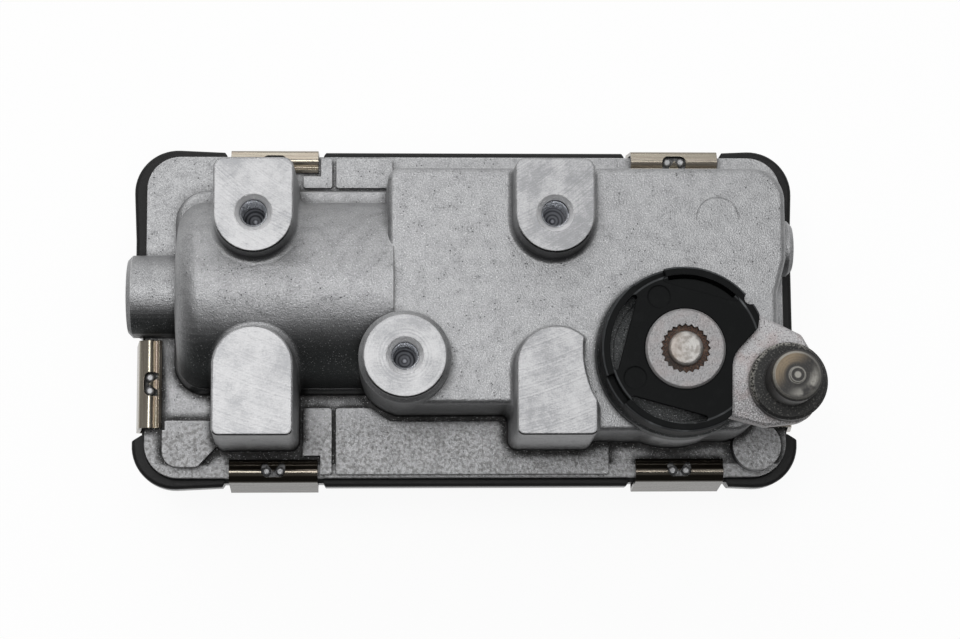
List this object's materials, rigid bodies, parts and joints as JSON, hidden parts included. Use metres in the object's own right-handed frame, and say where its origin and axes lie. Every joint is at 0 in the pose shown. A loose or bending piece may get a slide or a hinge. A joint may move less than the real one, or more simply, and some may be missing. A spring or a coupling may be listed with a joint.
{
  "type": "wastegate actuator",
  "caption": "Electronic wastegate actuator: cast gearmotor housing clipped to a plastic cover, screw bosses on top, and a swinging lever with a link stud.",
  "frame": {"origin": "centre of the cover's flat back face", "axes": "+Z towards the lever along the output shaft, +X along the casing towards the lever's end, +Y across it"},
  "size_m": [0.1309, 0.0676, 0.0619],
  "materials": {
    "cast_aluminium": "blasted and machined",
    "black_plastic": "moulded, satin",
    "clip_steel": "yellow chromate",
    "bright_steel": "ground",
    "sintered_steel": "sintered",
    "oiled_steel": "dark, oiled",
    "green_board": "solder mask",
    "chip_plastic": "moulded",
    "can_aluminium": "drawn",
    "gold_contact": "plated",
    "zinc_steel": "zinc plated",
    "dark_magnet": "sintered",
    "carbon": "pressed carbon",
    "copper": "turned",
    "bronze": "sintered bush",
    "white_plastic": "moulded",
    "rubber": "moulded"
  },
  "bodies": {
    "casing": {"housing": "cast_aluminium", "cover": "black_plastic", "cover_gasket": "rubber", "clip_top_left": "clip_steel", "clip_top_right": "clip_steel", "clip_bottom_left": "clip_steel", "clip_bottom_right": "clip_steel", "clip_left": "clip_steel", "clip_right": "clip_steel", "circuit_board": "green_board", "filter_capacitors": "can_aluminium", "driver_chip": "chip_plastic", "control_chip": "chip_plastic", "sensor_chip": "chip_plastic", "connector_pins": "gold_contact", "motor_can": "zinc_steel", "motor_end_cap": "black_plastic", "motor_leads": "gold_contact", "motor_magnets": "dark_magnet", "motor_brushes": "carbon", "motor_front_bush": "bronze", "motor_rear_bush": "bronze", "motor_screws": "zinc_steel", "gear_axle": "bright_steel", "shaft_bush": "bronze", "shaft_seal": "rubber"},
    "output": {"sector_gear": "white_plastic", "shaft_circlip": "zinc_steel", "output_shaft": "bright_steel", "magnet_holder": "black_plastic", "sensor_magnet": "dark_magnet", "lever_arm": "sintered_steel", "lever_disc": "black_plastic", "link_stud": "oiled_steel"},
    "idler": {"worm_wheel": "white_plastic", "drive_pinion": "bright_steel"},
    "rotor": {"motor_armature": "copper", "motor_commutator": "copper", "motor_shaft": "bright_steel", "worm": "bright_steel"}
  },
  "joints": [
    {"name": "lever_swing", "type": "hinge", "parent": "casing", "child": "output", "pos_m": [0.0394, -0.0102, 0.04], "axis": [0, 0, 1], "range_deg": [-22, 32]},
    {"name": "idler_spin", "type": "hinge", "parent": "casing", "child": "idler", "pos_m": [0.0177, 0.0144, 0.025], "axis": [0, 0, 1], "range_deg": [-156, 108]},
    {"name": "motor_spin", "type": "hinge", "parent": "casing", "child": "rotor", "pos_m": [-0.03, 0.0036, 0.0247], "axis": [1, 0, 0], "range_deg": [-1392, 2024]}
  ],
  "couplings": [
    {"joint": "idler_spin", "follows": "lever_swing", "ratio": -4.8571},
    {"joint": "motor_spin", "follows": "lever_swing", "ratio": 63.143}
  ]
}
